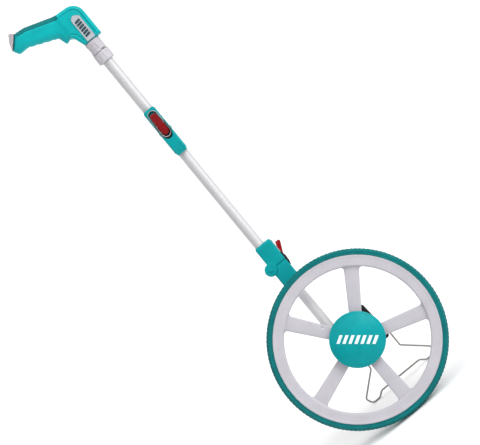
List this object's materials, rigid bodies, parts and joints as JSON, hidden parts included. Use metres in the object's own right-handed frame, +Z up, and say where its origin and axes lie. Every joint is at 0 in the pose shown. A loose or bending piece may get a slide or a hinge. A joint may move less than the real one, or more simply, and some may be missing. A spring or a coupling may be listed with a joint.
{
  "type": "measuring wheel",
  "caption": "Folding distance measuring wheel: spoked wheel with tyre, mechanical counter, wire kickstand, tube mast with lever-locked fold joints and an angled pistol grip.",
  "frame": {"origin": "centre of the tread facet that touches the ground when the wheel stands on its kickstand", "axes": "+Z up; +X the way the wheel rolls, seen from the capped side to the right; the capped side of the wheel faces -Y and leans back towards +Y by 18 degrees, with the kickstand behind it"},
  "size_m": [0.3176, 0.3642, 0.9037],
  "materials": {
    "tyre": "matte rubber tread",
    "rim": "light grey moulded plastic",
    "cap": "glossy teal plastic",
    "steel": "zinc-plated steel",
    "nylon": "natural nylon",
    "housing": "black textured plastic",
    "window": "clear window",
    "drums": "black number drums",
    "wire": "plated steel wire",
    "button": "red push button",
    "tube": "satin anodised aluminium",
    "hinge": "teal moulded plastic",
    "lever": "red moulded plastic",
    "bezel": "silver-grey plastic",
    "collar": "light grey plastic",
    "label": "dark ribbed strip",
    "handle": "teal moulded plastic",
    "grip": "dark teal soft strip",
    "butt": "grey plastic"
  },
  "bodies": {
    "frame": {"leg_tube": "tube", "leg_socket": "housing", "leg_pin": "steel", "hinge_base_lower": "hinge", "hinge_pin_lower": "steel", "latch_catch_lower": "housing", "counter_housing": "housing", "counter_cover": "housing", "counter_window": "window", "cover_screw_1": "steel", "cover_screw_2": "steel", "axle_bush_front": "nylon", "axle_bush_back": "nylon", "idler_pin": "steel", "drum_shaft": "steel", "reset_spring": "steel"},
    "wheel": {"tyre": "tyre", "wheel_rim": "rim", "hub_cap": "cap", "axle": "steel", "axle_washer": "steel", "axle_nut": "steel", "axle_spacer": "nylon", "axle_clip": "steel", "drive_gear": "nylon"},
    "idler": {"idler_gear": "nylon"},
    "drum_tenths": {"counter_gear": "nylon", "drum_tenths": "drums"},
    "drum_ones": {"drum_ones": "drums"},
    "drum_tens": {"drum_tens": "drums"},
    "drum_hundreds": {"drum_hundreds": "drums"},
    "drum_thousands": {"drum_thousands": "drums"},
    "kickstand": {"kickstand": "wire"},
    "reset": {"reset_button": "button"},
    "mast_lower": {"hinge_arm_lower": "hinge", "lever_pin_lower": "steel", "latch_spring_lower": "steel", "latch_bezel_lower": "bezel", "lower_tube": "tube", "hinge_base_mid": "hinge", "hinge_pin_mid": "steel", "latch_catch_mid": "housing"},
    "mast_upper": {"hinge_arm_mid": "hinge", "lever_pin_mid": "steel", "latch_spring_mid": "steel", "latch_bezel_mid": "bezel", "upper_tube": "tube", "collar_ring": "collar", "handle_collar": "collar", "handle_shell_near": "handle", "handle_shell_far": "handle", "handle_screw_1": "steel", "handle_screw_2": "steel", "grip_spine": "grip", "label_plate": "collar", "label_bars": "label", "butt_cap": "butt"},
    "latch_lower": {"latch_lever_lower": "lever"},
    "latch_mid": {"latch_lever_mid": "lever"}
  },
  "joints": [
    {"name": "wheel_spin", "type": "hinge", "parent": "frame", "child": "wheel", "pos_m": [0, 0.04424, 0.15206], "axis": [0, 0.9511, -0.309], "continuous": true},
    {"name": "idler_spin", "type": "hinge", "parent": "frame", "child": "idler", "pos_m": [0.01, 0.04841, 0.1649], "axis": [0, 0.9511, -0.309], "continuous": true},
    {"name": "drum_tenths_spin", "type": "hinge", "parent": "frame", "child": "drum_tenths", "pos_m": [0.02, 0.05258, 0.17774], "axis": [0, 0.9511, -0.309], "continuous": true},
    {"name": "drum_ones_spin", "type": "hinge", "parent": "frame", "child": "drum_ones", "pos_m": [0.02, 0.05258, 0.17774], "axis": [0, 0.9511, -0.309], "continuous": true},
    {"name": "drum_tens_spin", "type": "hinge", "parent": "frame", "child": "drum_tens", "pos_m": [0.02, 0.05258, 0.17774], "axis": [0, 0.9511, -0.309], "continuous": true},
    {"name": "drum_hundreds_spin", "type": "hinge", "parent": "frame", "child": "drum_hundreds", "pos_m": [0.02, 0.05258, 0.17774], "axis": [0, 0.9511, -0.309], "continuous": true},
    {"name": "drum_thousands_spin", "type": "hinge", "parent": "frame", "child": "drum_thousands", "pos_m": [0.02, 0.05258, 0.17774], "axis": [0, 0.9511, -0.309], "continuous": true},
    {"name": "kickstand_swing", "type": "hinge", "parent": "frame", "child": "kickstand", "pos_m": [0.0185, 0.09888, 0.11959], "axis": [1, 0, 0], "range_deg": [0, 130]},
    {"name": "lower_fold", "type": "hinge", "parent": "frame", "child": "mast_lower", "pos_m": [-0.04, 0.1486, 0.31793], "axis": [0, -0.9511, 0.309], "range_deg": [0, 176]},
    {"name": "mid_fold", "type": "hinge", "parent": "mast_lower", "child": "mast_upper", "pos_m": [-0.0283, 0.2609, 0.60529], "axis": [-1, 0, 0], "range_deg": [0, 176]},
    {"name": "lower_latch_press", "type": "hinge", "parent": "mast_lower", "child": "latch_lower", "pos_m": [-0.0098, 0.15231, 0.32934], "axis": [0, -0.9511, 0.309], "range_deg": [0, 12], "stiffness_Nm_per_rad": 0.5, "springref_deg": -5.73},
    {"name": "mid_latch_press", "type": "hinge", "parent": "mast_upper", "child": "latch_mid", "pos_m": [-0.0283, 0.22989, 0.62798], "axis": [-1, 0, 0], "range_deg": [0, 12], "stiffness_Nm_per_rad": 0.5, "springref_deg": -5.73},
    {"name": "reset_press", "type": "slide", "parent": "frame", "child": "reset", "axis": [0, -0.9511, 0.309], "range_m": [0, 0.003], "stiffness_N_per_m": 400, "springref_m": -0.002}
  ],
  "couplings": [
    {"joint": "idler_spin", "follows": "wheel_spin", "ratio": -0.75},
    {"joint": "drum_tenths_spin", "follows": "wheel_spin", "ratio": 1},
    {"joint": "drum_ones_spin", "follows": "wheel_spin", "ratio": 0.1},
    {"joint": "drum_tens_spin", "follows": "wheel_spin", "ratio": 0.01},
    {"joint": "drum_hundreds_spin", "follows": "wheel_spin", "ratio": 0.001},
    {"joint": "drum_thousands_spin", "follows": "wheel_spin", "ratio": 0.0001}
  ]
}
